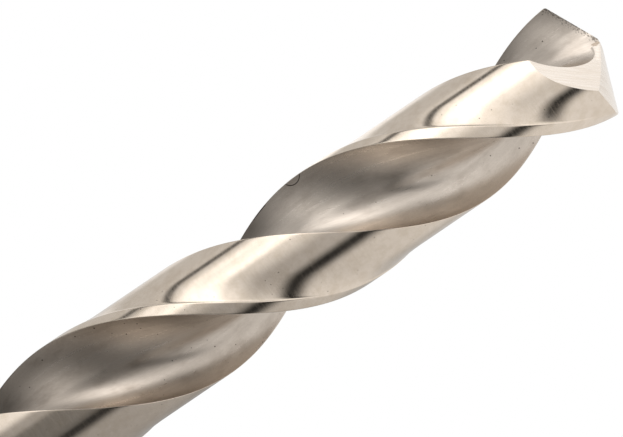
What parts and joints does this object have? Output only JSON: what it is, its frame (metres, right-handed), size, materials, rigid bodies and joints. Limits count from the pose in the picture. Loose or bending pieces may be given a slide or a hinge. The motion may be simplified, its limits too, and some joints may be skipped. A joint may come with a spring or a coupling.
{
  "type": "twist drill bit",
  "caption": "Twist drill for metal: a straight round shank, helical flutes with raised margins and a ground point with steep heel relief.",
  "frame": {"origin": "centre of the flat end of the shank, on which the drill stands", "axes": "+Z along the axis towards the point; +X along the lips where they reach full diameter"},
  "size_m": [0.01, 0.01, 0.133],
  "materials": {
    "high_speed_steel": "bright ground, satin in the flutes"
  },
  "bodies": {
    "root": {"drill_bit": "high_speed_steel"}
  },
  "joints": []
}
